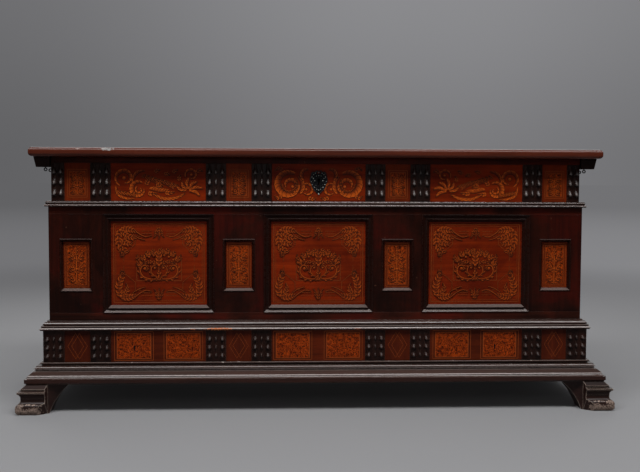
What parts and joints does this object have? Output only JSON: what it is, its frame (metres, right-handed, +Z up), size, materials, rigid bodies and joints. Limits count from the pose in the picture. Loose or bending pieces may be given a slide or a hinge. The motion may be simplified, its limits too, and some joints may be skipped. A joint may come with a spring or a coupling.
{
  "type": "cassone",
  "caption": "Long panelled marriage chest with marquetry panels, carved friezes, stepped mouldings, bracket feet and a hinged lid with a lock.",
  "frame": {"origin": "centre of the footprint on the floor, hinge knuckles and feet included", "axes": "+X along the chest to the right seen from the front, +Y to the back, +Z up"},
  "size_m": [1.758, 0.6554, 0.7743],
  "materials": {
    "dark_walnut": "dark waxed walnut, worn on its edges",
    "lid_walnut": "reddish waxed walnut",
    "marquetry": "veneer with inlaid leaf scrolls, waxed",
    "carcase_walnut": "plain planed boards, dry inside",
    "iron": "dark forged iron"
  },
  "bodies": {
    "case": {"back_boards": "carcase_walnut", "base_moulding_front": "dark_walnut", "base_moulding_left": "dark_walnut", "base_moulding_right": "dark_walnut", "bottom_boards": "carcase_walnut", "cap_moulding_front": "dark_walnut", "cap_moulding_left": "dark_walnut", "cap_moulding_right": "dark_walnut", "carcase_front": "carcase_walnut", "carcase_left": "carcase_walnut", "carcase_right": "carcase_walnut", "case_eyes": "iron", "escutcheon": "iron", "foot_back_left": "dark_walnut", "foot_back_right": "dark_walnut", "foot_front_left": "dark_walnut", "foot_front_right": "dark_walnut", "front_bottom_rail": "dark_walnut", "front_muntin_left": "dark_walnut", "front_muntin_right": "dark_walnut", "front_stile_left": "dark_walnut", "front_stile_right": "dark_walnut", "front_top_rail": "dark_walnut", "head_rail": "dark_walnut", "hinge_leaves": "iron", "hinge_pins": "iron", "large_panel_left": "marquetry", "large_panel_middle": "dark_walnut", "large_panel_mouldings": "dark_walnut", "large_panel_right": "marquetry", "left_panel_moulding": "dark_walnut", "left_side_frame": "dark_walnut", "lock_case": "iron", "lower_carved_blocks": "dark_walnut", "lower_long_tablets": "marquetry", "lower_small_tablets": "marquetry", "plinth_board_front": "dark_walnut", "plinth_board_left": "dark_walnut", "plinth_board_right": "dark_walnut", "right_panel_moulding": "dark_walnut", "right_side_frame": "dark_walnut", "small_panel_mouldings": "dark_walnut", "small_panels": "marquetry", "upper_carved_blocks": "dark_walnut", "upper_small_tablets": "marquetry", "upper_tablet_left": "marquetry", "upper_tablet_middle": "marquetry", "upper_tablet_right": "marquetry", "waist_moulding_front": "dark_walnut", "waist_moulding_left": "dark_walnut", "waist_moulding_right": "dark_walnut"},
    "lid": {"lid_front_board": "lid_walnut", "lid_back_board": "lid_walnut", "lid_cleat_left": "lid_walnut", "lid_cleat_right": "lid_walnut", "hinge_straps": "iron", "lid_staple": "iron", "lid_eyes": "iron"},
    "lock_bolt": {"lock_bolt": "iron"}
  },
  "joints": [
    {"name": "lid_hinge", "type": "hinge", "parent": "case", "child": "lid", "pos_m": [0, 0.3222, 0.74815], "axis": [-1, 0, 0], "range_deg": [0, 95]},
    {"name": "bolt_slide", "type": "slide", "parent": "case", "child": "lock_bolt", "axis": [1, 0, 0], "range_m": [0, 0.02]}
  ]
}
